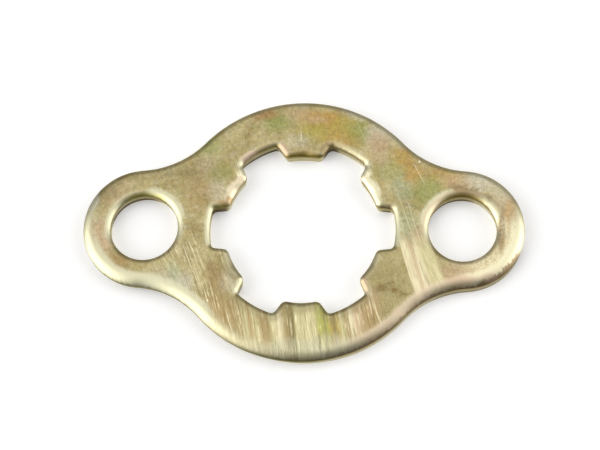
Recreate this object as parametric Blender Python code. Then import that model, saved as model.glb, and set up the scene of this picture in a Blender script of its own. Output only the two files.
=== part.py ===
"""Lock plate for a splined shaft: one steel stamping, plated in yellow zinc.

A ring carries two round ears, each with a bolt hole. Teeth point into the bore, the same size as
the gaps in the shaft's splines. The plate slides over the splines, turns in the groove behind them
and is then bolted down through its ears.

Frame: the origin is the centre of the bore on the underside. X runs through both bolt holes and Z
points up out of the face with the rounded edges. Sizes are in metres.

Every outline is a chain of tangent arcs. The centre of an arc lies in the metal or in the open, so
a copy of the outline set back into the metal keeps its centres and only changes its radii. The
sheared edge follows every outline, the teeth included: a straight wall of sheet height whose top
rolls over into the upper face and whose lower part breaks away inwards to the lower face.
"""

import math
from collections import namedtuple

import bmesh
import bpy
from mathutils import Vector

MM = 0.001

# Sheet and outer outline
THICKNESS = 1.6 * MM
RING_DIAMETER = 25.7 * MM
EAR_RADIUS = 5.8 * MM
WAIST_RADIUS = 8.85 * MM
BOLT_SPACING = 30.0 * MM
BOLT_HOLE_DIAMETER = 6.4 * MM

# Toothed bore
TOOTH_COUNT = 6
ROOT_DIAMETER = 17.5 * MM
TIP_DIAMETER = 14.6 * MM
TOOTH_TIP_WIDTH = 3.3 * MM
TOOTH_ROOT_WIDTH = 5.1 * MM
TIP_CORNER_RADIUS = 0.65 * MM
ROOT_CORNER_RADIUS = 0.45 * MM

# Sheared edge
RIM_ROLL_WIDTH = 0.9 * MM
RIM_ROLL_SLOPE = math.radians(35)  # where the roll is steepest, at the shoulder
HOLE_ROLL_WIDTH = 0.6 * MM
HOLE_ROLL_SLOPE = math.radians(40)
SHOULDER_RADIUS = 0.1 * MM  # between the roll and the wall
BREAK_TAPER = 0.1 * MM
BREAK_SHARE = 0.45  # of the straight wall's height
ROLL_STEPS = 5
SHOULDER_STEPS = 2

# Clearances and fineness
CORNER_SPARE = 0.05 * MM  # by which a tooth's corner radius exceeds the roll that goes round it
CHORD_ERROR = 0.006 * MM  # most that a straight edge cuts inside its arc

# Plating
ZINC_COLOUR = (0.51, 0.43, 0.24, 1.0)
ZINC_ROUGHNESS = 0.38

METAL = -1.0  # an arc with its centre in the metal shrinks as it is set back
OPEN = 1.0  # an arc with its centre in the open grows as it is set back

Arc = namedtuple("Arc", "centre radius start sweep side straight_after")


def turned(arc, angle):
    """The arc turned about the bore's axis."""
    x, y = arc.centre
    c, s = math.cos(angle), math.sin(angle)
    centre = (c * x - s * y, s * x + c * y)
    return arc._replace(centre=centre, start=arc.start + angle)


def mirrored(arc, straight_after):
    """The arc mirrored in the X axis, then run backwards so that the chain keeps its direction."""
    x, y = arc.centre
    start = -(arc.start + arc.sweep)
    return arc._replace(centre=(x, -y), start=start, straight_after=straight_after)


def arc_points(arc, inset):
    """Points along the arc set back by inset. The last is kept only where a straight follows.

    The number of steps is even, so that a point lies at the arc's middle, where a rim is widest.
    """
    radius = max(arc.radius + arc.side * inset, CORNER_SPARE)
    half_step = math.acos(1 - min(CHORD_ERROR / arc.radius, 1.0))
    steps = 2 * math.ceil(abs(arc.sweep) / (4 * half_step))
    count = steps + 1 if arc.straight_after else steps
    angles = [arc.start + arc.sweep * i / steps for i in range(count)]
    x, y = arc.centre
    return [(x + radius * math.cos(a), y + radius * math.sin(a)) for a in angles]


def outline_points(chain, inset, height):
    """The chain's points, set back into the metal by inset, at the given height."""
    return [Vector((x, y, height)) for arc in chain for x, y in arc_points(arc, inset)]


def rim_chain():
    """Outer outline: ear, waist, ring and waist again, then the same turned half a turn."""
    ring = RING_DIAMETER / 2
    ear_x = BOLT_SPACING / 2
    from_ring = ring + WAIST_RADIUS
    from_ear = EAR_RADIUS + WAIST_RADIUS
    waist_x = (from_ring**2 - from_ear**2 + ear_x**2) / (2 * ear_x)
    waist_y = math.sqrt(from_ring**2 - waist_x**2)
    ear_turn = math.atan2(waist_y, waist_x - ear_x)
    ring_turn = math.atan2(waist_y, waist_x)
    bend = ring_turn - ear_turn
    half = (
        Arc((ear_x, 0.0), EAR_RADIUS, -ear_turn, 2 * ear_turn, METAL, False),
        Arc((waist_x, waist_y), WAIST_RADIUS, ear_turn + math.pi, bend, OPEN, False),
        Arc((0.0, 0.0), ring, ring_turn, math.pi - 2 * ring_turn, METAL, False),
        Arc((-waist_x, waist_y), WAIST_RADIUS, -ring_turn, bend, OPEN, False),
    )
    return [turned(arc, turn) for turn in (0.0, math.pi) for arc in half]


def bolt_hole_chain(side):
    """One full circle round a bolt's axis. The side is 1 or -1, for the ear along X or against."""
    centre = (side * BOLT_SPACING / 2, 0.0)
    return [Arc(centre, BOLT_HOLE_DIAMETER / 2, 0.0, 2 * math.pi, OPEN, False)]


def centre_beside_flank(base, along, distance):
    """The point on a line beside a tooth's flank that lies at this distance from the bore's axis."""
    reach = base.dot(along)
    return base + along * (math.sqrt(reach**2 - base.dot(base) + distance**2) - reach)


def tooth_arcs():
    """A tooth that points along X to the axis, and the root arc up to the next tooth.

    The flank runs straight between two corners. The tip's corner is centred in the metal and the
    root's in the open, each at its own radius from the flank and from the arc that it meets.
    """
    root, tip = ROOT_DIAMETER / 2, TIP_DIAMETER / 2
    half_tip, half_root = TOOTH_TIP_WIDTH / 2, TOOTH_ROOT_WIDTH / 2
    tip_end = Vector((math.sqrt(tip**2 - half_tip**2), half_tip))
    root_end = Vector((math.sqrt(root**2 - half_root**2), half_root))
    along = (root_end - tip_end).normalized()
    outward = Vector((-along.y, along.x))
    flank_turn = math.atan2(outward.y, outward.x)

    tip_radius = max(TIP_CORNER_RADIUS, HOLE_ROLL_WIDTH + CORNER_SPARE)
    tip_centre = centre_beside_flank(tip_end - outward * tip_radius, along, tip + tip_radius)
    tip_turn = math.atan2(tip_centre.y, tip_centre.x)
    sweep = flank_turn - tip_turn - math.pi
    tip_start = tip_turn + math.pi
    tip_corner = Arc(tuple(tip_centre), tip_radius, tip_start, sweep, METAL, True)

    root_radius = ROOT_CORNER_RADIUS
    root_centre = centre_beside_flank(tip_end + outward * root_radius, along, root - root_radius)
    root_turn = math.atan2(root_centre.y, root_centre.x)
    root_start = flank_turn - math.pi
    sweep = root_turn - root_start
    root_corner = Arc(tuple(root_centre), root_radius, root_start, sweep, OPEN, False)

    gap = 2 * math.pi / TOOTH_COUNT - 2 * root_turn
    return (
        mirrored(root_corner, True),
        mirrored(tip_corner, False),
        Arc((0.0, 0.0), tip, -tip_turn, 2 * tip_turn, OPEN, False),
        tip_corner,
        root_corner,
        Arc((0.0, 0.0), root, root_turn, gap, OPEN, False),
    )


def bore_chain():
    """All the teeth in turn, placed so that a gap between two of them faces each bolt hole."""
    pitch = 2 * math.pi / TOOTH_COUNT
    tooth = tooth_arcs()
    return [turned(arc, (i + 0.5) * pitch) for i in range(TOOTH_COUNT) for arc in tooth]


def arc_levels(inset, height, radius, from_slope, to_slope, steps):
    """Equal steps along an arc of the edge's section, its first point left out.

    The arc's centre is inside the metal, and a slope is the angle between surface and upper face.
    """
    slopes = [from_slope + (to_slope - from_slope) * i / steps for i in range(1, steps + 1)]
    return [(inset - radius * math.sin(a), height + radius * math.cos(a)) for a in slopes]


def edge_profile(roll_width, roll_slope):
    """The sheared edge from the lower face to the upper, as pairs of inset and height.

    A small shoulder tops the wall. The roll, a wide arc, runs on from it and ends level with the
    upper face.
    """
    shoulder_width = SHOULDER_RADIUS * (1 - math.sin(roll_slope))
    roll_radius = (roll_width - shoulder_width) / math.sin(roll_slope)
    roll_height = THICKNESS - roll_radius
    wall_top = roll_height + (roll_radius - SHOULDER_RADIUS) * math.cos(roll_slope)
    upright = math.pi / 2
    wall = [(BREAK_TAPER, 0.0), (0.0, wall_top * BREAK_SHARE), (0.0, wall_top)]
    shoulder = arc_levels(
        SHOULDER_RADIUS, wall_top, SHOULDER_RADIUS, upright, roll_slope, SHOULDER_STEPS
    )
    roll = arc_levels(roll_width, roll_height, roll_radius, roll_slope, 0.0, ROLL_STEPS)
    return wall + shoulder + roll


def ring_edges(ring):
    """The edges that join a ring of points in order."""
    count = len(ring)
    pairs = [(ring[i], ring[(i + 1) % count]) for i in range(count)]
    return [next(e for e in a.link_edges if e.other_vert(a) is b) for a, b in pairs]


def extruded_ring(bm, ring, places):
    """Extrudes the ring into a band of faces and moves the new ring onto the given places."""
    made = bmesh.ops.extrude_edge_only(bm, edges=ring_edges(ring))["geom"]
    fresh = {item for item in made if isinstance(item, bmesh.types.BMVert)}
    above = []
    for vert, place in zip(ring, places):
        twin = next(e.other_vert(vert) for e in vert.link_edges if e.other_vert(vert) in fresh)
        twin.co = place
        above.append(twin)
    return above


def add_sheared_edge(bm, chain, profile):
    """Builds one outline's wall upwards. It returns the edges of its lowest and highest rings."""
    inset, height = profile[0]
    lowest = [bm.verts.new(place) for place in outline_points(chain, inset, height)]
    for i in range(len(lowest)):
        bm.edges.new((lowest[i - 1], lowest[i]))
    rings = [lowest]
    for inset, height in profile[1:]:
        rings.append(extruded_ring(bm, rings[-1], outline_points(chain, inset, height)))
    for ring in rings[:2]:
        for edge in ring_edges(ring):
            edge.smooth = False
    return ring_edges(rings[0]), ring_edges(rings[-1])


def zinc_material():
    """Yellow zinc plating over steel."""
    material = bpy.data.materials.new("yellow_zinc")
    material.use_nodes = True
    shader = material.node_tree.nodes["Principled BSDF"]
    shader.inputs["Base Color"].default_value = ZINC_COLOUR
    shader.inputs["Metallic"].default_value = 1.0
    shader.inputs["Roughness"].default_value = ZINC_ROUGHNESS
    material.diffuse_color = ZINC_COLOUR
    return material


def lock_plate_mesh():
    """The four sheared edges, closed by a lower and an upper face with the holes left out."""
    rim = edge_profile(RIM_ROLL_WIDTH, RIM_ROLL_SLOPE)
    hole = edge_profile(HOLE_ROLL_WIDTH, HOLE_ROLL_SLOPE)
    outlines = (
        (rim_chain(), rim),
        (bore_chain(), hole),
        (bolt_hole_chain(1), hole),
        (bolt_hole_chain(-1), hole),
    )
    bm = bmesh.new()
    lower, upper = [], []
    for chain, profile in outlines:
        low, high = add_sheared_edge(bm, chain, profile)
        lower += low
        upper += high
    for edges, up in ((lower, -1.0), (upper, 1.0)):
        bmesh.ops.triangle_fill(bm, edges=edges, use_beauty=True, normal=(0.0, 0.0, up))
    bmesh.ops.recalc_face_normals(bm, faces=bm.faces)
    for face in bm.faces:
        face.smooth = True
    mesh = bpy.data.meshes.new("lock_plate")
    bm.to_mesh(mesh)
    bm.free()
    return mesh


def add_lock_plate():
    """The whole part. Its flat faces keep flat shading up to the edge that rolls out of them."""
    mesh = lock_plate_mesh()
    mesh.materials.append(zinc_material())
    plate = bpy.data.objects.new("lock_plate", mesh)
    bpy.context.scene.collection.objects.link(plate)
    shading = plate.modifiers.new("flat_faces", "WEIGHTED_NORMAL")
    shading.keep_sharp = True


for old in list(bpy.data.objects):
    bpy.data.objects.remove(old, do_unlink=True)
add_lock_plate()
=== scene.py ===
import math

import bmesh
import bpy
import numpy as np
from mathutils import Matrix, Vector


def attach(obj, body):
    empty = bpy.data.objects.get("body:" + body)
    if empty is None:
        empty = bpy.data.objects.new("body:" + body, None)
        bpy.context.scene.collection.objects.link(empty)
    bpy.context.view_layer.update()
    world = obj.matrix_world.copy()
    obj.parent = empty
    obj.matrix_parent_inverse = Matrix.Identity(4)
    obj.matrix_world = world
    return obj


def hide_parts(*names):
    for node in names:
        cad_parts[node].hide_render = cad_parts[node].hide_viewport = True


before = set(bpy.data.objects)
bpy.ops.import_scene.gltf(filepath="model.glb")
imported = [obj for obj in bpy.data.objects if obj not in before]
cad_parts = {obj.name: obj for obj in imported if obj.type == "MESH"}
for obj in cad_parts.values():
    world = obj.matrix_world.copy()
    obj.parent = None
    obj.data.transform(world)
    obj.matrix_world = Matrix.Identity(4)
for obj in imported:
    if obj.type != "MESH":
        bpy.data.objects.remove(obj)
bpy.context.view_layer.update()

# The lock plate: one stamping from steel sheet, plated in yellow zinc. It was sheared from above,
# so every outline rolls over at the top, is burnished below that and is torn at the bottom.
# It lies flat on its torn side. Lengths are in millimetres, and the mesh is in metres.
millimetre = 0.001
weld_gap = 2e-7  # in metres: points of two grids that lie this close are made one
thickness = 1.6
ring_radius = 12.85
ear_radius = 5.8
ear_x = 15.0
waist_radius = 8.85
bolt_hole_radius = 3.2
root_radius, tip_radius = 8.75, 7.3
tooth_count = 6
tip_half_width, root_half_width = 1.65, 2.55
tip_corner, root_corner = 0.65, 0.45
# Each roll has its greatest width, its steepest slope, the share of its width on edges that face
# left or right, and how much that share changes from there to the edges that face far or near.
rim_roll = (1.2, math.radians(35), 0.72, 0.28)
hole_roll = (0.75, math.radians(40), 0.80, 0.14)
bore_roll = (0.68, math.radians(40), 0.80, 0.14)
shoulder = 0.1  # radius between the roll and the wall
tear_taper = 0.1  # how far the torn wall leans in at its foot, round the bore and the holes
rim_tapers = (0.30, 0.02)  # the same round the rim, at its left and at its right
rim_taper_ends = (-6.0, 6.0)  # where across the plate the rim's lean has those values
tear_share = 0.8  # of the wall's height
tear_wander = (0.06, 0.04)  # how far the line where the tear starts goes up and down, in two waves
tear_depth = 0.012  # how far the torn part's roughness goes in
foot_break = 0.03  # the tiny bevel at the foot of the torn wall
tip_swell = 0.2  # how much further the roll reaches in at the middle of a tooth's tip
seam_x = 10.3  # where an ear's patch of face meets the ring's
outline_step = 0.12  # between points along an outline
foot_steps, tear_steps, land_steps, shoulder_steps, roll_steps = 2, 8, 3, 5, 12  # rows of points
face_shares = (0, 0.02, 0.12, 0.3, 0.5, 0.7, 0.88, 0.98, 1)  # where a face has rows of points
FACE, SLOPE, ROLL, LAND, TEAR, UNDER = 0.0, 0.85, 1.0, 2.0, 3.0, 4.0  # "across", at each part's end


def arc_run(centre, radius, start, sweep, side):
    """Equal steps of angle along an arc, its last point left out, with the normals out of the
    metal: away from a centre in the metal (side -1), towards a centre in the open (side 1)."""
    steps = max(4, math.ceil(abs(sweep) * radius / outline_step))
    angle = start + sweep * np.arange(steps) / steps
    ray = np.stack([np.cos(angle), np.sin(angle)], -1)
    return np.asarray(centre) + radius * ray, -side * ray


def straight_run(start, end, normal):
    """Equal steps from start to end, the last point left out, all with one normal."""
    steps = max(2, math.ceil(np.linalg.norm(end - start) / outline_step))
    share = np.arange(steps)[:, None] / steps
    return start + share * (end - start), np.repeat([normal], steps, 0)


def beside_flank(base, along, distance):
    """The point on the line from base along the flank that is this far from the bore's centre:
    the positive root of |base + s along| = distance."""
    reach = base @ along
    return base + along * (math.sqrt(reach**2 - base @ base + distance**2) - reach)


def bore_outline():
    """The toothed bore, anticlockwise from a tooth's foot. Half a tooth is a tip arc, a corner
    centred in the metal, a straight flank and a corner centred in the open. The other half is
    its mirror image, and the whole is turned once for each tooth."""
    tip_end = np.array([math.sqrt(tip_radius**2 - tip_half_width**2), tip_half_width])
    root_end = np.array([math.sqrt(root_radius**2 - root_half_width**2), root_half_width])
    along = (root_end - tip_end) / np.linalg.norm(root_end - tip_end)
    out = np.array([-along[1], along[0]])
    flank = math.atan2(out[1], out[0])
    tip_centre = beside_flank(tip_end - out * tip_corner, along, tip_radius + tip_corner)
    root_centre = beside_flank(tip_end + out * root_corner, along, root_radius - root_corner)
    tip_turn = math.atan2(tip_centre[1], tip_centre[0])
    root_turn = math.atan2(root_centre[1], root_centre[0])
    tip_foot, root_foot = tip_centre + out * tip_corner, root_centre - out * root_corner
    mirror = np.array([1.0, -1.0])
    tip_sweep = flank - tip_turn - math.pi
    root_sweep = root_turn - flank + math.pi
    gap = 2 * math.pi / tooth_count - 2 * root_turn
    runs = [
        arc_run(root_centre * mirror, root_corner, -root_turn, root_sweep, 1),
        straight_run(root_foot * mirror, tip_foot * mirror, out * mirror),
        arc_run(tip_centre * mirror, tip_corner, -flank, tip_sweep, -1),
        arc_run((0, 0), tip_radius, -tip_turn, 2 * tip_turn, 1),
        arc_run(tip_centre, tip_corner, tip_turn + math.pi, tip_sweep, -1),
        straight_run(tip_foot, root_foot, out),
        arc_run(root_centre, root_corner, flank - math.pi, root_sweep, 1),
        arc_run((0, 0), root_radius, root_turn, gap, 1),
    ]
    point, normal = (np.concatenate(part) for part in zip(*runs))
    turn = 2 * math.pi / tooth_count * (np.arange(tooth_count) + 0.5)
    spin = np.array([[np.cos(turn), -np.sin(turn)], [np.sin(turn), np.cos(turn)]])
    return tuple(np.einsum("ijk,nj->kni", spin, part).reshape(-1, 2) for part in (point, normal))


waist_reach = ring_radius + waist_radius
ear_reach = ear_radius + waist_radius
waist_x = (waist_reach**2 - ear_reach**2 + ear_x**2) / (2 * ear_x)
waist_y = math.sqrt(waist_reach**2 - waist_x**2)


def rim_from(centre_x, radius, angle, inset):
    """The rim, set back by inset, where a ray from a centre on the X axis meets it. Near the axis
    of the waist's blend that is the nearer crossing of the waist's circle, else the round end's
    own circle. Worked out in the quarter where x and y are positive, then mirrored."""
    flip = np.stack([np.ones_like(angle), np.where(np.sin(angle) < 0, -1.0, 1.0)], -1)
    ray = np.stack([np.cos(angle), np.abs(np.sin(angle))], -1)
    if centre_x == 0:
        flip[:, 0] = np.where(ray[:, 0] < 0, -1.0, 1.0)
        ray = np.abs(ray)
    centre = np.array([centre_x, 0.0])
    waist = np.array([waist_x, waist_y])
    blend = waist_radius + inset
    across = ray @ (waist - centre)
    under = across**2 - (waist - centre) @ (waist - centre) + blend**2
    reach = across - np.sqrt(np.maximum(under, 0.0))
    blend_turn = math.atan2(waist_y, waist_x - centre_x)
    turn = np.arctan2(ray[:, 1], ray[:, 0])
    on_waist = (turn < blend_turn) if centre_x == 0 else (turn > blend_turn)
    on_waist = on_waist[:, None]
    point = centre + np.where(on_waist, reach[:, None], radius - inset) * ray
    normal = np.where(on_waist, (waist - point) / blend, ray)
    return point * flip, normal * flip


def edge_rows(roll):
    """The edge's section from the lower face to the upper, as rows of inset, height and zone. From
    the foot it has a tiny bevel, the torn wall, the upright land, the shoulder and the roll. The
    last two are arcs: inset = middle - radius sin(slope), height = middle + radius cos(slope)."""
    width, steepest = roll[:2]
    radius = (width - shoulder * (1 - math.sin(steepest))) / math.sin(steepest)
    wall = thickness - radius + (radius - shoulder) * math.cos(steepest)
    tear_top = wall * tear_share

    def straight(steps, start, end):
        return np.asarray(start) + np.linspace(0, 1, steps + 1)[1:, None] * np.subtract(end, start)

    bevel = np.linspace(0, math.pi / 2, foot_steps + 1)
    inset, height = foot_break * (1 - np.sin(bevel)), foot_break * (1 - np.cos(bevel))
    foot = np.stack([inset, height, [UNDER] + [TEAR + 0.5] * foot_steps], -1)
    tear = straight(tear_steps, (0.0, foot_break, TEAR), (0.0, tear_top, LAND))
    land = straight(land_steps, (0.0, tear_top, LAND), (0.0, wall, ROLL))
    turn = np.linspace(math.pi / 2, steepest, shoulder_steps + 1)[1:]
    zone = np.interp(-turn, [-math.pi / 2, -steepest], [ROLL, SLOPE])
    over = np.stack([shoulder * (1 - np.sin(turn)), wall + shoulder * np.cos(turn), zone], -1)
    turn = np.linspace(steepest, 0, roll_steps + 1)[1:]
    height = thickness - radius * (1 - np.cos(turn))
    top = np.stack([width - radius * np.sin(turn), height, SLOPE * turn / steepest], -1)
    return np.concatenate([foot, tear, land, over, top, [[width, thickness, FACE]]])


def sheared_edge(point, normal, inset, roll, taper):
    """A wall down one stretch of outline that is known at the upper face, set back by inset. Each
    row of the edge is the outline moved along its normals. The roll is widest where the edge faces
    the near side: it is scaled by share - change * normal y, and its last row is put where it
    meets the face. Each point gets its height, its zone and the outline's normal.
    Below the land the wall leans in evenly to the taper. The line where the tear starts wanders up
    and down by two waves along x and y, which fade out at the foot and at 1 / 1.3 of the thickness.
    The torn part is rough by a sum of sines of its place."""
    row_inset, row_height, row_zone = np.moveaxis(edge_rows(roll)[:, None, :], -1, 0)
    width, _, share, change = roll
    x, y = point[:, 0], point[:, 1]
    rolled = np.clip(LAND - row_zone, 0, 1)
    wider = 1 + rolled * ((share - change * normal[:, 1]) * inset / width - 1)
    drop = (thickness - row_height) * (1 + rolled * (wider - 1))
    wider[-1] = inset / width
    wander = tear_wander[0] * np.sin(1.1 * x + 0.7 * y)
    wander = wander + tear_wander[1] * np.sin(2.3 * y - 1.9 * x + 1.0)
    hump = np.sin(math.pi * np.clip(row_height / thickness * 1.3, 0, 1)) * (row_zone > ROLL)
    height = thickness - drop + wander * hump
    rough = np.sin(9.1 * x + 21 * height) * np.sin(11.3 * y - 17 * height)
    rough += 0.5 * np.sin(23 * x - 19 * y + 9 * height)
    lower = np.clip(row_zone - LAND, 0, 1)
    torn = lower * (row_zone < UNDER) * (row_height > foot_break / 2)
    depth = row_inset * wider + taper * lower + tear_depth * torn * (1 + rough / 1.5)
    flat = point + normal * (inset - depth)[..., None]
    zone = np.broadcast_to(row_zone, height.shape)
    facing = np.broadcast_to(normal, flat.shape)
    return np.concatenate([flat, height[..., None], zone[..., None], facing], -1)


def face_patch(inner, outer, height):
    """Straight lines ruled from the inner outline to the outer one, close together at both."""
    share = np.array(face_shares)[:, None, None]
    flat = inner * (1 - share) + outer * share
    tail = np.zeros(flat.shape[:2] + (4,))
    tail[..., 0], tail[..., 1] = height, UNDER
    return np.concatenate([flat, tail], -1)


def grid_quads(shape, first):
    """Corner numbers of the quads of a grid whose points are numbered row by row from first."""
    rows, columns = shape
    number = first + np.arange(rows * columns).reshape(rows, columns)
    corners = (number[:-1, :-1], number[:-1, 1:], number[1:, 1:], number[1:, :-1])
    return np.stack(corners, -1).reshape(-1, 4)


def closed(run):
    """The run with its first point again at the end."""
    return np.concatenate([run, run[:1]])


def rim_taper(x):
    """The lean of the torn wall round the rim, from one value at the left to one at the right."""
    return np.interp(x, rim_taper_ends, rim_tapers)


def plate_grids():
    """All the grids of the plate: edges, upper faces and lower faces. An ear's face is ruled from
    the hole to the rim and to the seam at x = seam_x, the ring's from the bore to the rim and to
    both seams, and every outline has its own edge."""
    rim_set = rim_roll[0]
    seam_y = waist_y - math.sqrt((waist_radius + rim_set) ** 2 - (waist_x - seam_x) ** 2)
    ring_turn = math.atan2(seam_y, seam_x)
    ear_turn = math.atan2(seam_y, seam_x - ear_x)
    foot_set = tear_taper + foot_break

    # The bore's points start at a seam's end. Each is ruled to the rim along a ray at the angle it
    # is seen at, adjusted a little so that a ray meets each of the four seam ends.
    bore, normal = (closed(part) for part in bore_outline())
    bore_angle = np.unwrap(np.arctan2(bore[:, 1], bore[:, 0]))
    targets = np.array([ring_turn, math.pi - ring_turn, math.pi + ring_turn, 2 * math.pi - ring_turn])
    targets = np.append(targets, targets[0] + 2 * math.pi)
    corner = [int(np.argmin(abs(bore_angle - turn))) for turn in targets[:4]]
    count = len(bore) - 1
    order = (corner[0] + np.arange(count + 1)) % count
    bore, normal = bore[order], normal[order]
    bore_angle = np.unwrap(np.arctan2(bore[:, 1], bore[:, 0]))
    corner = [c - corner[0] for c in corner] + [count]
    angle = np.interp(bore_angle, bore_angle[corner], targets)

    # The roll reaches further in at the middle of each tooth's tip.
    pitch = 2 * math.pi / tooth_count
    off_tip = tip_radius * abs(bore_angle % pitch - pitch / 2)
    swell = tip_swell * (1 + np.cos(math.pi * np.clip(off_tip, 0, 1))) / 2
    bore_set = bore_roll[0] + swell
    inner = bore - normal * bore_set[:, None]
    edges = [sheared_edge(inner, normal, bore_set, bore_roll, tear_taper)]
    upper_faces, lower_faces = [], []
    upper, lower = np.empty((count + 1, 2)), np.empty((count + 1, 2))
    for first, last, on_rim in zip(corner[:-1], corner[1:], (True, False, True, False)):
        part = slice(first, last + 1)
        rim, rim_normal = rim_from(0.0, ring_radius, angle[part], rim_set)
        taper = rim_taper(rim[:, 0])
        drop = rim + rim_normal * (rim_set - foot_break - taper)[:, None]
        if on_rim:
            upper[part], lower[part] = rim, drop
            edges.append(sheared_edge(rim, rim_normal, np.full(len(rim), rim_set), rim_roll, taper))
            continue
        share = np.tan(angle[part]) / np.tan(angle[part][-1])
        side = math.copysign(1.0, rim[0, 0])
        upper[part] = np.stack([np.full(len(share), side * seam_x), rim[-1, 1] * share], -1)
        lower[part] = np.stack([np.full(len(share), drop[-1, 0]), drop[-1, 1] * share], -1)
        ear_edges, ear_upper, ear_lower = ear_grids(side, upper[part], lower[part], ear_turn, foot_set)
        edges += ear_edges
        upper_faces.append(ear_upper)
        lower_faces.append(ear_lower)
    upper_faces.append(face_patch(inner, upper, thickness))
    lower_faces.append(face_patch(bore - normal * foot_set, lower, 0.0))

    # On an upper face, "across" is less than FACE by the distance to the nearest roll.
    rolled = np.concatenate([edge[-1] for edge in edges])
    for face in upper_faces:
        for row in face:
            gap = np.linalg.norm(row[:, None, :2] - rolled[:, :2], axis=-1)
            nearest = gap.argmin(1)
            row[:, 3] = FACE - gap.min(1)
            row[:, 4:] = rolled[nearest, 4:]
    return edges + upper_faces + lower_faces


def ear_grids(side, seam, lower_seam, ear_turn, foot_set):
    """One ear: its rim from seam to seam, then the seam itself, with the bolt hole's circle
    sampled at the angles of those points seen from the hole's centre."""
    rim_set, hole_set = rim_roll[0], hole_roll[0]
    steps = math.ceil(2 * ear_turn * ear_radius / outline_step)
    angle = np.linspace(-ear_turn, ear_turn, steps + 1)
    rim, rim_normal = rim_from(ear_x, ear_radius, angle, rim_set)
    centre = np.array([side * ear_x, 0.0])
    mirror = np.array([side, 1.0])
    rim, rim_normal = rim * mirror, rim_normal * mirror
    if rim[0, 1] * seam[0, 1] > 0:
        seam, lower_seam = seam[::-1], lower_seam[::-1]
    taper = rim_taper(rim[:, 0])
    drop = rim + rim_normal * (rim_set - foot_break - taper)[:, None]
    upper = np.concatenate([rim, seam[1:]])
    lower = np.concatenate([drop, lower_seam[1:]])
    ray = (upper - centre) / np.linalg.norm(upper - centre, axis=1)[:, None]
    hole = centre + ray * (bolt_hole_radius + hole_set)
    edges = [
        sheared_edge(rim, rim_normal, np.full(len(rim), rim_set), rim_roll, taper),
        sheared_edge(hole, -ray, np.full(len(hole), hole_set), hole_roll, tear_taper),
    ]
    foot = centre + ray * (bolt_hole_radius + foot_set)
    return edges, face_patch(hole, upper, thickness), face_patch(foot, lower, 0.0)


def plate_object():
    """Joins the grids into one closed mesh, in metres. Each point keeps its zone of the edge in
    the attribute "across" and the nearest outline's normal in "facing"."""
    points, quads, first = [], [], 0
    for grid in plate_grids():
        quads.append(grid_quads(grid.shape[:2], first))
        points.append(grid.reshape(-1, 6))
        first += len(points[-1])
    points, quads = np.concatenate(points), np.concatenate(quads)
    mesh = bpy.data.meshes.new("stamped_plate")
    mesh.from_pydata(points[:, :3] * millimetre, [], quads.tolist())
    across = mesh.attributes.new("across", "FLOAT", "POINT")
    across.data.foreach_set("value", points[:, 3].astype(np.float32))
    facing = mesh.attributes.new("facing", "FLOAT_VECTOR", "POINT")
    upright = np.pad(points[:, 4:], ((0, 0), (0, 1)))
    facing.data.foreach_set("vector", upright.astype(np.float32).ravel())
    joined = bmesh.new()
    joined.from_mesh(mesh)
    bmesh.ops.remove_doubles(joined, verts=joined.verts, dist=weld_gap)
    bmesh.ops.recalc_face_normals(joined, faces=joined.faces)
    joined.to_mesh(mesh)
    joined.free()
    mesh.shade_smooth()
    plate = bpy.data.objects.new("stamped_plate", mesh)
    bpy.context.scene.collection.objects.link(plate)
    return plate


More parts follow.
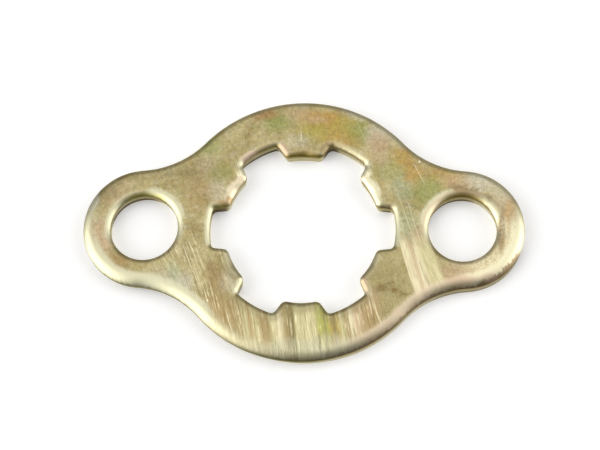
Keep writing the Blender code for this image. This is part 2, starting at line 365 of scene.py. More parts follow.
class Wire:
    """An output socket. Arithmetic on it adds Math nodes, and add() makes any other node."""

    def __init__(self, tree, socket=None):
        self.tree = tree
        self.socket = socket

    def add(self, kind, settings=None, inputs=None, output=0):
        """A new node of this type: its settings first, then its inputs' values or links."""
        node = self.tree.nodes.new("ShaderNode" + kind)
        for name, value in (settings or {}).items():
            if name == "stops":
                for spare in list(node.color_ramp.elements)[1:]:
                    node.color_ramp.elements.remove(spare)
                for i, (place, colour) in enumerate(value):
                    stop = node.color_ramp.elements.new(place) if i else node.color_ramp.elements[0]
                    stop.position, stop.color = place, (*colour, 1.0)
            else:
                setattr(node, name, value)
        for name, value in (inputs or {}).items():
            if isinstance(value, Wire):
                self.tree.links.new(value.socket, node.inputs[name])
            elif node.inputs[name].type == "RGBA":
                node.inputs[name].default_value = (*value, 1.0)
            else:
                node.inputs[name].default_value = value
        return Wire(self.tree, node.outputs[output])

    def other(self, output):
        """Another output of the same node."""
        return Wire(self.tree, self.socket.node.outputs[output])

    def into(self, socket):
        """Links this output to an input."""
        self.tree.links.new(self.socket, socket)

    def maths(self, operation, second=0.0):
        """A Math node with this socket first."""
        return self.add("Math", {"operation": operation}, {0: self, 1: second})

    def __add__(self, second):
        return self.maths("ADD", second)

    def __radd__(self, first):
        return self.maths("ADD", first)

    def __sub__(self, second):
        return self.maths("SUBTRACT", second)

    def __rsub__(self, first):
        return self.add("Math", {"operation": "SUBTRACT"}, {0: first, 1: self})

    def __mul__(self, second):
        return self.maths("MULTIPLY", second)

    def __rmul__(self, first):
        return self.maths("MULTIPLY", first)

    def step(self, low, high):
        """0 at low, 1 at high, smooth between and flat outside. Low may be the larger."""
        ends = {"Value": self, "From Min": low, "From Max": high}
        if high < low:
            ends = {"Value": self, "From Min": high, "From Max": low, "To Min": 1.0, "To Max": 0.0}
        return self.add("MapRange", {"interpolation_type": "SMOOTHSTEP"}, ends)

    def between(self, low, high):
        """The first colour where this mask is 0, the second where it is 1."""
        return self.add("Mix", {"data_type": "RGBA"}, {"Factor": self, 6: low, 7: high}, 2)

    def tint(self, colour, amount, blend="MIX"):
        """This colour mixed with another by an amount."""
        settings = {"data_type": "RGBA", "blend_type": blend}
        return self.add("Mix", settings, {"Factor": amount, 6: self, 7: colour}, 2)

    def ramp(self, stops):
        """Colours looked up by this value: each stop is a place from 0 to 1 and a colour."""
        return self.add("ValToRGB", {"stops": stops}, {0: self})

    def scaled(self, amount):
        """A colour or vector times a number."""
        return self.add("VectorMath", {"operation": "SCALE"}, {0: self, "Scale": amount})

    def parts(self, kind="SeparateXYZ"):
        """The three parts of a vector, or of a colour with SeparateColor."""
        first = self.add(kind, None, {0: self})
        return [Wire(self.tree, output) for output in first.socket.node.outputs[:3]]

    def noise(self, scale, detail=3.0, rough=0.5, output="Fac"):
        """Noise at this vector: as a number, or three unlike ones with the output Color."""
        inputs = {"Vector": self, "Scale": scale, "Detail": detail, "Roughness": rough}
        return self.add("TexNoise", None, inputs, output)

    def ellipse(self, mid_x, mid_y, half_x, half_y, turn=0.0):
        """1 at the middle of an upright elliptic rod, falling evenly to 0 at its side."""
        half_z = 1000.0
        inputs = {"Vector": self, "Location": (mid_x, mid_y, 0.0), "Scale": (half_x, half_y, half_z)}
        inputs["Rotation"] = (0.0, 0.0, math.radians(turn))
        own = self.add("Mapping", {"vector_type": "TEXTURE"}, inputs)
        return self.add("TexGradient", {"gradient_type": "SPHERICAL"}, {"Vector": own}, "Fac")


# The plating: yellow zinc over brushed steel. The film is khaki metal with clouds of olive, rust and
# rose where its thickness changes. It is worked out from the place on the plate in millimetres, the
# zone of the edge, and the way that the nearest outline faces. The masks upper and lower are 1 on
# the upper side, down to the shoulder, and on the underside.
plating = bpy.data.materials.new("yellow_zinc_plating")
plating.use_nodes = True
shader = plating.node_tree.nodes["Principled BSDF"]
start = Wire(plating.node_tree)
place = start.add("TexCoord", output="Object").scaled(1 / millimetre)
x, y, z = place.parts()
from_bore = start.add("VectorMath", {"operation": "LENGTH"}, {0: place}, "Value")
across = start.add("Attribute", {"attribute_name": "across"}, None, "Fac")
facing_x, facing_y = start.add("Attribute", {"attribute_name": "facing"}, None, "Vector").parts()[:2]
sideways = facing_x.maths("ABSOLUTE")
upper, lower = across.step(1.3, 0.9), across.step(3.7, 4.0)
far_half = y.step(-6.0, 1.0)

# The film's clouds: broad ones, then rust, olive and grey mottling, which is strongest on the far
# half. Each mottling has its colour and the noise where it starts.
cloud_tones = (
    (0.36, (0.35, 0.280, 0.120)),
    (0.50, (0.435, 0.362, 0.170)),
    (0.64, (0.53, 0.455, 0.240)),
)
mottling = (
    ((0.50, 0.34, 0.14), 0.46),
    ((0.36, 0.37, 0.16), 0.48),
    ((0.57, 0.50, 0.36), 0.48),
)
colour = place.noise(0.45, 5.0, 0.65).ramp(cloud_tones)
blots = place.noise(1.3, 5.0, 0.8, "Color").parts("SeparateColor")
mottled = (far_half * 0.35 + 0.15) * (upper + lower)
for (tone, low), blot in zip(mottling, blots):
    colour = colour.tint(tone, blot.step(low, 0.70) * mottled)

# Single stains, each a soft ragged ellipse: place, half sizes, turn in degrees, tint, amount. The
# later ones lie over the earlier. Swirls push their outlines about. The two dark ones along the far
# rim of the left ear, at (-18.7, 3.9) and (-14.0, 5.4), are painted shade, not stains.
green, yellow, orange = (0.29, 0.32, 0.10), (0.41, 0.34, 0.09), (0.47, 0.28, 0.07)
rust, rose, grey = (0.35, 0.21, 0.085), (0.53, 0.38, 0.24), (0.56, 0.52, 0.38)
teal, dark, pale = (0.38, 0.41, 0.25), (0.20, 0.16, 0.07), (0.82, 0.72, 0.47)
dull, ochre, brown = (0.37, 0.315, 0.145), (0.36, 0.28, 0.09), (0.34, 0.25, 0.12)
stain_fade = 1.8  # a stain has faded out at this many times its half sizes
swirl = 1.8
stains = (
    (2.6, 10.3, 3.4, 1.1, -8, ochre, 0.75), (-8.8, 4.6, 1.4, 1.8, 0, brown, 0.3),
    (6.8, -8.0, 1.4, 1.0, 35, brown, 0.6), (-6.5, -8.2, 1.5, 0.8, -35, brown, 0.35),
    (-9.2, 8.2, 1.1, 0.9, 20, green, 0.7), (-2.7, 10.9, 1.1, 0.9, 15, green, 0.9),
    (-3.7, 11.5, 1.0, 0.5, 15, rust, 1.0), (-0.5, 11.5, 1.4, 0.6, 0, rose, 0.6),
    (2.0, 10.9, 1.9, 0.8, -8, orange, 1.0), (3.9, 10.3, 1.0, 0.9, -20, yellow, 0.9),
    (5.2, 9.7, 0.9, 1.1, -30, green, 0.8), (1.1, 9.7, 1.5, 1.0, 0, yellow, 0.9),
    (3.5, 8.9, 1.5, 0.8, -10, orange, 0.6), (7.1, 9.7, 0.9, 1.1, -40, grey, 0.8),
    (8.3, 6.1, 1.2, 1.3, 0, green, 0.6), (9.4, 3.9, 0.9, 1.1, 0, teal, 0.7),
    (10.4, 5.5, 0.7, 1.1, 0, orange, 0.7), (-8.0, 5.5, 1.1, 0.9, 40, green, 0.6),
    (-9.3, 6.4, 0.9, 0.8, 0, grey, 0.4), (-9.7, 5.4, 1.6, 1.4, 0, brown, 0.4),
    (-8.2, 3.7, 0.8, 1.0, 0, grey, 0.6), (-9.8, 3.2, 1.2, 1.4, 0, rust, 0.4),
    (9.3, 7.2, 0.8, 1.0, 20, orange, 0.7), (7.3, 7.4, 0.9, 1.1, 20, rose, 0.6),
    (13.2, 5.0, 1.6, 0.8, -15, orange, 0.6), (11.9, 3.8, 1.4, 1.2, 20, green, 0.8),
    (10.0, 0.3, 0.8, 1.5, 0, teal, 0.7), (11.2, -0.7, 0.9, 0.9, 0, rose, 0.7),
    (14.3, -4.5, 1.8, 0.8, 5, rose, 0.7), (16.6, 4.7, 1.1, 0.9, -20, grey, 1.0),
    (18.6, 3.0, 0.9, 1.3, 30, grey, 0.5), (14.6, 4.6, 1.4, 0.6, -10, rose, 0.6),
    (19.3, 1.6, 0.4, 1.3, -12, orange, 0.8), (19.1, 1.0, 1.0, 2.2, -12, rose, 0.5),
    (-17.8, 3.5, 0.8, 1.4, -30, rose, 0.5), (-19.7, 0.8, 0.9, 0.6, 0, teal, 0.3),
    (-18.9, -1.0, 0.8, 1.8, 10, rose, 0.9), (-17.2, -3.5, 0.8, 0.7, 0, rust, 0.7),
    (-7.4, -3.9, 0.9, 1.0, 0, dark, 0.3), (-6.9, -5.3, 0.8, 0.8, 20, grey, 0.7),
    (-12.3, -5.3, 2.0, 1.0, -10, grey, 0.6), (-11.9, -4.5, 0.5, 1.0, 15, teal, 0.8),
    (-10.9, -5.4, 0.7, 0.8, 0, grey, 0.8), (-10.9, -2.5, 0.4, 0.9, 15, dark, 0.5),
    # (-18.7, 3.9) here and (-14.0, 5.4) below are painted shade along the left ear's far rim.
    (-8.0, -5.0, 0.8, 1.5, 20, rust, 0.5), (-18.7, 3.9, 2.2, 0.8, 48, dark, 0.5),
    (-14.0, 5.4, 3.0, 0.5, 4, dark, 0.4), (8.1, -6.3, 2.3, 3.2, -10, dull, 0.9),
    (6.4, -7.6, 0.6, 1.6, -15, rose, 0.7), (2.8, -11.4, 2.2, 0.7, 5, grey, 0.9),
    (3.4, -11.7, 0.9, 0.5, 0, teal, 0.8), (17.5, -3.6, 1.8, 1.2, 30, pale, 0.9),
    (-1.4, -11.6, 3.2, 0.8, -3, pale, 0.6), (19.4, -1.7, 1.0, 1.8, 10, pale, 0.5),
    (0.0, 7.6, 2.4, 0.5, 0, rust, 0.4), (7.2, 8.8, 0.9, 0.8, 0, rose, 0.8),
    (7.3, 8.6, 0.7, 0.6, 20, brown, 0.4), (-0.4, 8.8, 1.1, 0.6, 0, grey, 0.6),
    (5.0, 11.6, 1.1, 0.4, -20, grey, 0.7), (1.4, 9.8, 0.9, 0.6, 0, yellow, 0.5),
    (1.1, 11.0, 1.0, 0.35, 0, rose, 0.6), (-4.6, 11.9, 0.8, 0.3, 20, dark, 0.4),
)
swirls = start.add("VectorMath", {"operation": "MULTIPLY_ADD"}, {
    0: place.noise(1.6, 5.0, 0.75, "Color"), 1: (swirl, swirl, 0.0), 2: place})
swirls = start.add("VectorMath", {"operation": "SUBTRACT"}, {0: swirls, 1: (swirl / 2, swirl / 2, 0.0)})
grain, spread = place.noise(4.5, 3.0, 0.75, "Color").parts("SeparateColor")[1:]
ragged = spread.step(0.30, 0.62) * 0.5 + 0.5
for mid_x, mid_y, half_x, half_y, turn, tone, amount in stains:
    spot = swirls.ellipse(mid_x, mid_y, half_x * stain_fade, half_y * stain_fade, turn)
    colour = colour.tint(tone, spot.step(0.0, 0.75) * ragged * (upper * amount))

# Four dark flecks beside the dull patch, each a place and a size, and a smudge over the right hole.
flecks = ((7.4, -5.9, 0.9), (8.2, -5.4, 0.5), (8.6, -6.0, 0.7), (9.4, -6.4, 0.6))
fleck_tone, smudge_tone = (0.23, 0.155, 0.06), (0.20, 0.14, 0.07)
for mid_x, mid_y, size in flecks:
    fleck = swirls.ellipse(mid_x, mid_y, size, size * 0.8).step(0.0, 0.8)
    colour = colour.tint(fleck_tone, fleck * upper * (grain.step(0.35, 0.55) * 0.6 + 0.4))
smudge = swirls.ellipse(15.9, 3.5, 2.9, 0.75, -20.0).step(0.0, 0.6)
colour = colour.tint(smudge_tone, smudge * (grain.step(0.35, 0.6) * 0.5 + 0.35) * upper)

# A grain in three sizes makes the film lighter and darker. The coarsest is on the far half.
grained = (grain - 0.5) + (place.noise(9.0, 1.0) - 0.5) * 0.4
grained = (grained + (place.noise(2.4, 2.0) - 0.5) * far_half * 0.5) * upper + 1.0
colour = colour.scaled(grained)

# Brush lines run from far left to near right, and lean more towards both ears. The value u is a
# place across them.
lean = (x * -0.03).maths("MAXIMUM", 0.0) + ((x - 2.0) * 0.018).maths("MAXIMUM", 0.0) + 0.12
u = x + lean * y


def brushed(across_scale, along_scale, shift, detail=2.0, rough=0.55):
    """Noise drawn out along the brush lines."""
    vector = u.add("CombineXYZ", None, {0: u * across_scale + shift, 1: y * along_scale, 2: z * 0.4})
    return vector.noise(1.0, detail, rough)


# They show most on the near part of the ring and on the webs that join it to the ears. The near part
# and the right web also have bands of colour, each a u and a tone, which wobble with the lines.
fine = brushed(8.5, 0.5, 0.0, 3.0, 0.7)
medium = brushed(2.6, 0.14, 31.0)
breaks = brushed(1.6, 0.8, 87.0)
near_ring = y.step(-6.0, -7.8) * x.step(8.5, 6.5) * upper
right_web = u.step(8.7, 8.82) * u.step(11.85, 11.35) * y.step(-0.4, -1.8) * upper
left_web = place.ellipse(-10.0, -4.3, 5.5, 4.5).step(0.0, 0.5) * upper
tan, light, lime, gold = (0.42, 0.32, 0.15), (0.63, 0.57, 0.31), (0.47, 0.48, 0.12), (0.50, 0.38, 0.10)
dusk, blush, cream, rusty = (0.25, 0.20, 0.085), (0.62, 0.47, 0.30), (0.84, 0.75, 0.49), (0.45, 0.32, 0.15)
bands = (
    (-10.2, rusty), (-8.3, tan), (-7.5, light), (-7.1, rusty), (-6.4, light), (-5.5, rusty),
    (-5.0, tan), (-4.4, light), (-3.6, cream), (-2.9, tan), (-2.35, dusk), (-2.1, dusk),
    (-1.6, light), (-1.0, light), (0.2, light), (0.55, lime), (0.95, lime), (1.08, dusk),
    (1.2, lime), (1.6, gold), (1.8, dusk), (2.05, gold), (2.4, light), (2.75, tan),
    (3.1, cream), (3.6, blush), (4.4, rusty), (6.2, tan), (9.3, cream), (9.6, blush),
    (9.9, cream), (10.6, light),
)
low, high = bands[0][0], bands[-1][0]
wobble = (medium - 0.5) * 0.7 + (fine - 0.5) * 0.7
along = (u + wobble - low) * (1 / (high - low))
banded = along.ramp([((at - low) / (high - low), tone) for at, tone in bands])
inside_rim = from_bore.step(12.3, 11.2) * 0.55 + 0.35
banding = near_ring * inside_rim + right_web * 0.9
colour = colour.tint(banded, banding * (breaks.step(0.25, 0.55) * 0.3 + 0.7))

# Two greyer places on the near part of the ring: place, half sizes, tint, amount.
near_greys = (
    (2.8, -11.5, 2.9, 1.7, (0.60, 0.55, 0.38), 0.6),
    (-0.8, -11.6, 3.4, 1.2, (0.48, 0.49, 0.34), 0.4),
)
for mid_x, mid_y, half_x, half_y, tone, amount in near_greys:
    colour = colour.tint(tone, place.ellipse(mid_x, mid_y, half_x, half_y).step(0.0, 0.6) * upper * amount)

# The lines themselves: bright ones, broken here and there, and dark ones.
bright_line, dark_line = (0.98, 0.90, 0.58), (0.17, 0.13, 0.055)
lined = near_ring * 0.7 + right_web * 0.5 + left_web * 0.6 + lower * 0.3 + 0.10
streak = fine * 0.7 + medium * 0.3
colour = colour.tint(bright_line, streak.step(0.51, 0.62) * lined * (breaks.step(0.35, 0.6) * 0.8))
colour = colour.tint(dark_line, streak.step(0.48, 0.35) * lined * 0.8)

# Single scratches, each a start, an end and an amount, and two bright nicks.
scratch_tone, scratch_half_width = (0.95, 0.86, 0.60), 0.06
nick_tone, nick_half_x, nick_half_y = (1.0, 0.95, 0.72), 0.12, 0.18
scratches = (
    (-0.35, 10.2, -0.25, 8.7, 0.7), (5.0, 10.9, 6.4, 7.6, 0.3), (10.2, 7.0, 11.7, 4.0, 0.55),
    (8.6, 4.6, 10.9, -2.5, 0.4), (9.6, 3.6, 11.4, -2.6, 0.5), (6.0, 6.6, 7.9, 2.6, 0.3),
    (-11.4, -1.2, -10.1, -4.6, 0.8), (-11.0, -0.6, -9.5, -4.2, 0.6), (-7.0, -7.9, -6.2, -10.4, 0.8),
    (6.15, -6.3, 6.7, -9.0, 0.9), (6.6, -6.5, 7.3, -9.3, 0.6), (6.35, -6.2, 6.8, -8.2, 0.5),
)
for from_x, from_y, to_x, to_y, amount in scratches:
    half = math.hypot(to_x - from_x, to_y - from_y) / 2
    turn = math.degrees(math.atan2(to_y - from_y, to_x - from_x))
    mark = place.ellipse((from_x + to_x) / 2, (from_y + to_y) / 2, half, scratch_half_width, turn)
    colour = colour.tint(scratch_tone, mark.step(0.0, 0.5) * ragged * (upper * (amount * 0.8)))
for mid_x, mid_y in ((-8.65, -7.19), (11.02, 6.71)):
    nick = place.ellipse(mid_x, mid_y, nick_half_x, nick_half_y).step(0.0, 0.8)
    colour = colour.tint(nick_tone, nick * upper)

# Wear of the sheared edge and painted highlight: the roll is painted pale where it faces left or right,
# most widely on the near side of both ears, on the far inner sides of both holes and on the teeth at
# the far right and the far left, and a little along the far rim. The paleness that follows the way the
# roll faces is a painted highlight over some real rubbing.
ragged_across = across + (place.noise(2.5) - 0.5) * 0.35 + (fine - 0.5) * 0.5
wear_and_highlight = ragged_across.step(-0.15, 0.35) * (sideways * 0.9 + 0.1) * facing_y.step(0.6, 0.1)
left_wear_and_highlight = place.ellipse(-15.0, -5.2, 9.5, 4.6, -15.0).step(0.0, 0.4) * facing_y.step(0.4, -0.1)
right_wear_and_highlight = place.ellipse(18.5, -2.4, 5.5, 4.5, 30.0).step(0.0, 0.4) * facing_y.step(0.3, -0.1)
wear_and_highlight = wear_and_highlight + ragged_across.step(-0.45, 0.1) * ragged_across.step(0.95, 0.75) * (left_wear_and_highlight + right_wear_and_highlight)
hole_wear_and_highlight = place.ellipse(12.2, 2.6, 2.6, 3.0).step(0.0, 0.4) * facing_x.step(-0.1, 0.3)
hole_wear_and_highlight = hole_wear_and_highlight * ragged_across.step(1.0, 0.7)
hole_wear_and_highlight = hole_wear_and_highlight + place.ellipse(-12.9, 2.6, 3.0, 2.4).step(0.0, 0.4) * facing_x.step(0.5, -0.3)
wear_and_highlight = wear_and_highlight + ragged_across.step(-0.4, 0.1) * hole_wear_and_highlight * facing_y.step(0.1, -0.2)
right_tip_wear_and_highlight = place.ellipse(6.0, 4.2, 1.7, 2.6, 28.0).step(0.0, 0.5)
left_tip_wear_and_highlight = place.ellipse(-6.1, 4.1, 1.6, 2.6, -28.0).step(0.0, 0.5)
wear_and_highlight = wear_and_highlight + ragged_across.step(-0.4, 0.1) * right_tip_wear_and_highlight + ragged_across.step(-0.3, 0.15) * left_tip_wear_and_highlight
far_rim = facing_y.step(0.3, 0.7) * y.step(2.0, 4.0) * x.step(-8.0, -4.0)
wear_and_highlight = (wear_and_highlight + far_rim * across.step(0.2, 0.5) * 0.25).maths("MINIMUM", 1.0)
wear_and_highlight = wear_and_highlight * across.step(1.2, 1.0)

# The rubbed and highlighted metal is pink by the near right waist and brightest at the right ear and
# on the teeth, where a painted glint is added on the parts that face far.
rub_and_highlight, pink = (0.68, 0.65, 0.44), (0.74, 0.60, 0.43)
bright_rub_and_highlight, tooth_rub_and_highlight, tooth_glint = (0.86, 0.80, 0.54), (0.80, 0.68, 0.48), (1.0, 0.92, 0.64)
by_waist = place.ellipse(11.5, -8.5, 9.0, 5.0, 30.0).step(0.0, 0.5)
edge = by_waist.between(rub_and_highlight, pink)
edge = edge.tint(bright_rub_and_highlight, right_wear_and_highlight * 0.8 + right_tip_wear_and_highlight * 0.6)
edge = edge.tint(tooth_rub_and_highlight, left_tip_wear_and_highlight * 0.9)
edge = edge.tint(tooth_glint, (right_tip_wear_and_highlight + left_tip_wear_and_highlight) * facing_y.step(0.0, 0.4))
colour = colour.tint(edge, wear_and_highlight * 0.9)
colour = colour.tint(pink, by_waist * across.step(-0.1, 0.2) * across.step(0.6, 0.4) * 0.6)

# Painted shade: the roll is darkened low down wherever it faces the near side, more at the right ear,
# only a thin line at the left ear, and where it faces far on the near side of the bore. A pale line
# along that shoulder is a painted highlight. A dark streak lies to the right of the right hole.
olive_shade, rust_shade, bore_shade_tone = (0.20, 0.19, 0.09), (0.25, 0.16, 0.08), (0.25, 0.21, 0.10)
shoulder_highlight_tone, streak_tone = (0.75, 0.70, 0.48), (0.27, 0.17, 0.075)
down_to_land = across.step(1.3, 1.1)
near_facing_shade = facing_y.step(-0.45, -0.75) * ragged_across.step(0.62, 0.84) * down_to_land
right_ear_shade = place.ellipse(19.0, -4.2, 3.6, 3.2).step(0.0, 0.4) * facing_y.step(-0.3, -0.5)
right_ear_shade = right_ear_shade * ragged_across.step(0.42, 0.66) * down_to_land
left_foot_shade = facing_y.step(-0.4, -0.8) * ragged_across.step(0.78, 0.95) * x.step(-9.0, -11.0)
near_shade = near_facing_shade * (x.step(-9.0, -4.0) * 0.5 + 0.25) + right_ear_shade * 0.8
near_shade = near_shade + left_foot_shade * down_to_land * 0.5
near_shade_tone = x.step(-2.0, 6.0).between(olive_shade, rust_shade)
colour = colour.tint(near_shade_tone, near_shade.maths("MINIMUM", 0.85))
# Painted shade on the far-facing roll of the bore's near side.
bore_shade = facing_y.step(0.2, 0.6) * place.ellipse(0.0, -6.0, 11.0, 5.5).step(0.0, 0.3)
colour = colour.tint(bore_shade_tone, bore_shade * across.step(-0.6, 0.2) * across.step(1.0, 0.85) * 0.5)
# A painted highlight: a pale line along the shoulder on the near side of the bore.
shoulder_highlight = across.step(0.8, 0.95) * down_to_land * facing_y.step(0.2, 0.6)
colour = colour.tint(shoulder_highlight_tone, shoulder_highlight * from_bore.step(9.6, 9.0) * 0.5)
shade = place.ellipse(18.6, -0.2, 0.5, 3.0, -3.0).step(0.0, 0.6)
colour = colour.tint(streak_tone, shade * ragged * 0.8)

# Single tints on the rolls, each a soft ellipse: place, half sizes, tint, amount. The dark one at
# (1.95, 8.1), beside the far tooth, is painted shade.
roll_stains = (
    (1.95, 8.1, 0.7, 1.0, (0.28, 0.20, 0.09), 0.8), (-1.9, 7.9, 0.9, 1.3, (0.50, 0.37, 0.25), 0.9),
    (-7.4, 2.75, 1.1, 0.6, (0.40, 0.25, 0.11), 0.75), (-5.0, 7.1, 1.4, 1.0, (0.72, 0.52, 0.40), 0.7),
    (-3.6, 7.9, 1.4, 0.9, (0.46, 0.36, 0.18), 0.6), (-6.35, -3.4, 1.6, 2.2, (0.72, 0.66, 0.44), 0.4),
    (6.3, -3.4, 1.4, 2.2, (0.72, 0.66, 0.44), 0.25), (12.0, 2.3, 2.2, 3.2, (0.74, 0.58, 0.38), 0.5),
    (0.0, 7.3, 1.9, 0.6, (0.42, 0.31, 0.14), 0.5), (15.2, 3.4, 2.4, 0.7, (0.40, 0.27, 0.14), 0.5),
    (6.0, -5.5, 0.8, 1.1, (0.50, 0.38, 0.24), 0.9), (14.8, -5.0, 1.8, 0.6, (0.66, 0.48, 0.32), 0.5),
    (17.4, -4.8, 1.0, 0.6, (0.66, 0.48, 0.32), 0.45), (-20.1, 2.7, 0.9, 1.5, (0.66, 0.64, 0.50), 0.7),
    (8.6, 9.3, 2.4, 1.8, (0.58, 0.53, 0.36), 0.5), (19.2, 4.0, 1.6, 1.6, (0.60, 0.54, 0.38), 0.5),
)
for mid_x, mid_y, half_x, half_y, tone, amount in roll_stains:
    spot = place.ellipse(mid_x, mid_y, half_x, half_y).step(0.0, 0.5) * across.step(-0.1, 0.15)
    colour = colour.tint(tone, spot * across.step(1.2, 1.0) * amount)

# The far sides of the holes and of the bore keep their yellow film.
kept_film_tone = (1.0, 0.98, 0.58)
kept_film = from_bore.step(9.2, 8.8) * x.step(3.5, 2.0) + from_bore.step(11.2, 11.7)
kept_film = kept_film * y.step(-1.0, 0.5) * facing_y.step(-0.72, -0.94) * across.step(0.35, 0.65)
colour = colour.tint(kept_film_tone, kept_film * across.step(1.15, 0.95), "MULTIPLY")

# The wall: a dark land over a pale torn part, which is greyer on the near rim. Where the wall faces
# left or right the land is kept pale and the torn part is paler, a painted highlight. Two dark
# patches on the bore's wall are painted shade, and painted shade darkens the torn part at its foot
# where it faces near or right.
land_tone, shade_patch_tone, foot_shade_tone = (0.33, 0.29, 0.15), (0.14, 0.10, 0.05), (0.10, 0.07, 0.04)
torn_near_or_far, torn_sideways_highlight, torn_near_rim = (0.74, 0.67, 0.47), (0.90, 0.86, 0.74), (0.72, 0.69, 0.58)
tear = across.step(1.9, 2.2) * across.step(3.98, 3.6)
land = across.step(0.97, 1.05) * across.step(2.2, 1.9)
near_rim = from_bore.step(10.5, 11.5) * y.step(-2.5, -4.0)
# Painted highlight: the land is kept pale and the torn part paler where the wall faces left or right.
colour = colour.tint(land_tone, land * (1 - sideways.step(0.3, 0.8) * 0.8) * 0.8)
torn = sideways.step(0.3, 0.7).between(torn_near_or_far, torn_sideways_highlight)
torn = torn.tint(torn_near_rim, near_rim * 0.6)
colour = colour.tint(torn, tear * 0.9)
# Two dark patches of painted shade on the bore's wall.
for mid_x, mid_y in ((-7.9, 1.9), (2.5, 8.1)):
    shade_patch = place.ellipse(mid_x, mid_y, 1.0, 1.0).step(0.0, 0.5)
    shade_patch = shade_patch * across.step(0.95, 1.1) * across.step(4.0, 3.9)
    colour = colour.tint(shade_patch_tone, shade_patch * 0.8)
# Painted shade at the foot of the torn wall.
foot_shade = tear * z.step(0.95, 0.45) * (facing_x * 0.5 - facing_y * 0.85).step(0.55, 0.8)
foot_shade = foot_shade * y.step(-7.5, -6.0) * from_bore.step(7.5, 8.1)
colour = colour.tint(foot_shade_tone, foot_shade * (0.85 - near_rim * 0.35))

# The film is satin, duller on the torn part and smoother where it is worn or painted with highlight.
# A bump of 0.02 mm follows the brush lines and a fine grain.
film_rough, line_rough, torn_rough, worn_smooth = 0.34, 0.10, 0.2, 0.04
rough = film_rough + (fine - 0.5) * line_rough + tear * torn_rough - wear_and_highlight * worn_smooth
relief = fine + (place.noise(4.0) - 0.5) * 0.6
relief_height, relief_share = 0.00002, 0.2
bump = start.add("Bump", None, {"Strength": relief_share, "Distance": relief_height, "Height": relief})
colour.into(shader.inputs["Base Color"])
rough.into(shader.inputs["Roughness"])
bump.into(shader.inputs["Normal"])
shader.inputs["Metallic"].default_value = 1.0
shader.inputs["Specular Tint"].default_value = (1.0, 0.94, 0.62, 1.0)

plate = plate_object()
plate.data.materials.append(plating)
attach(plate, "root")
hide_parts("lock_plate")

# The floor: a plain white sheet just under the plate. It keeps the plate's soft shadow, and it is
# clear from below so that the underside can be looked at.
floor_half = 1.5
floor_drop = 0.00002
paper_white, paper_glow, reflected_glow = 0.86, 0.20, 0.8
floor_mesh = bpy.data.meshes.new("white_floor")
corner_ways = ((-1, -1), (1, -1), (1, 1), (-1, 1))
corners = [(right * floor_half, away * floor_half, -floor_drop) for right, away in corner_ways]
floor_mesh.from_pydata(corners, [], [(0, 1, 2, 3)])
floor = bpy.data.objects.new("white_floor", floor_mesh)
bpy.context.scene.collection.objects.link(floor)
white = bpy.data.materials.new("white_floor")
white.use_nodes = True
white.node_tree.nodes.clear()
start = Wire(white.node_tree)
path = start.add("LightPath")
paper = start.add("BsdfDiffuse", None, {"Color": (paper_white, paper_white, paper_white)})


def glowing(strength):
    """The paper with a little light of its own."""
    glow = start.add("Emission", None, {"Color": (1.0, 1.0, 1.0), "Strength": strength})
    return start.add("AddShader", None, {0: paper, 1: glow})


# It glows more for the plate's underside, which would otherwise reflect only its own shadow.
seen = start.add("MixShader", None, {0: path.other("Is Camera Ray"), 1: paper, 2: glowing(paper_glow)})
close = path.other("Is Glossy Ray") * path.other("Ray Length").maths("LESS_THAN", 4 * floor_drop)
top = start.add("MixShader", None, {0: close, 1: seen, 2: glowing(reflected_glow)})
clear = start.add("BsdfTransparent")
back = start.add("NewGeometry", output="Backfacing")
sheet = start.add("MixShader", None, {0: back, 1: top, 2: clear})
end = white.node_tree.nodes.new("ShaderNodeOutputMaterial")
sheet.into(end.inputs["Surface"])
floor_mesh.materials.append(white)

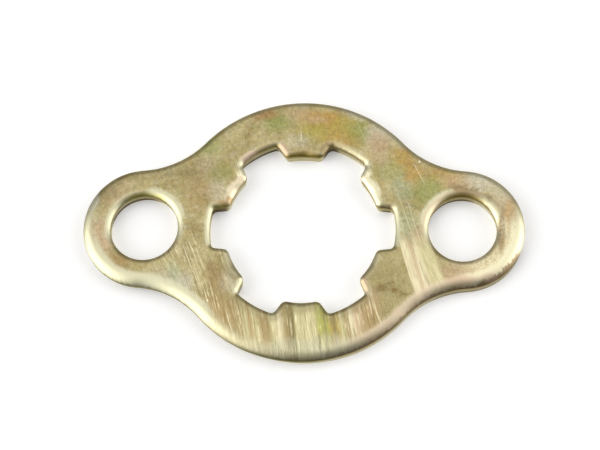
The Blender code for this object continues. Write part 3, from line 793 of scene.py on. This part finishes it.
# The studio: a tent with a soft panel above the plate and one on either side. The camera's side is
# darker. Each panel is a middle direction, a brightness, and the angles in degrees where it is
# full and where it ends. The camera sees plain white.
panels = (
    ((0.05, 0.24, 0.97), 0.95, 0, 46),
    ((-0.74, -0.20, 0.64), 2.2, 13, 43),
    ((0.79, 0.08, 0.60), 1.8, 9, 37),
)
tent_level, front_level = 0.42, 0.18
world = bpy.data.worlds.new("light_tent")
bpy.context.scene.world = world
world.use_nodes = True
world.node_tree.nodes.clear()
start = Wire(world.node_tree)
direction = start.add("TexCoord", output="Generated")
front = direction.parts()[1].step(0.2, -0.7)
level = tent_level + front * (front_level - tent_level)
for middle, brightness, full, gone in panels:
    middle = tuple(Vector(middle).normalized())
    turn = start.add("VectorMath", {"operation": "DOT_PRODUCT"}, {0: direction, 1: middle}, "Value")
    panel = turn.maths("ARCCOSINE").step(math.radians(gone), math.radians(full)) * brightness
    level = level + panel
seen = start.add("LightPath", output="Is Camera Ray")
strength = level * (1 - seen) + seen
sky = start.add("Background", None, {"Color": (1.0, 1.0, 1.0), "Strength": strength})
end = world.node_tree.nodes.new("ShaderNodeOutputWorld")
sky.into(end.inputs["Surface"])

# The camera: it looks steeply down on the plate from 14 cm away, a little from the right, and is
# tilted to one side.
picture = (600, 450)
focal = 1480.45  # in pixels of that picture
elevation, azimuth, roll = (math.radians(v) for v in (70.386, 8.895, -8.162))
distance = 0.140604
bore_at = (303.113, 233.235)  # where the bore's centre comes in the frame
level_share = math.cos(elevation)
out = Vector((math.sin(azimuth) * level_share, -math.cos(azimuth) * level_share, math.sin(elevation)))
level_right = Vector((math.cos(azimuth), math.sin(azimuth), 0.0))
level_up = out.cross(level_right)
right_way = level_right * math.cos(roll) + level_up * math.sin(roll)
up_way = level_up * math.cos(roll) - level_right * math.sin(roll)
off_x, off_y = (bore_at[0] - picture[0] / 2) / focal, (picture[1] / 2 - bore_at[1]) / focal
lens = bpy.data.cameras.new("camera")
lens.sensor_width = 36.0
lens.lens = focal / picture[0] * lens.sensor_width
lens.clip_start, lens.clip_end = 0.005, 10.0
camera = bpy.data.objects.new("camera", lens)
bpy.context.scene.collection.objects.link(camera)
turn = Matrix((right_way, up_way, out)).transposed().to_4x4()
camera.matrix_world = Matrix.Translation((out - right_way * off_x - up_way * off_y) * distance) @ turn
bpy.context.scene.camera = camera
bpy.context.scene.view_settings.view_transform = "Standard"
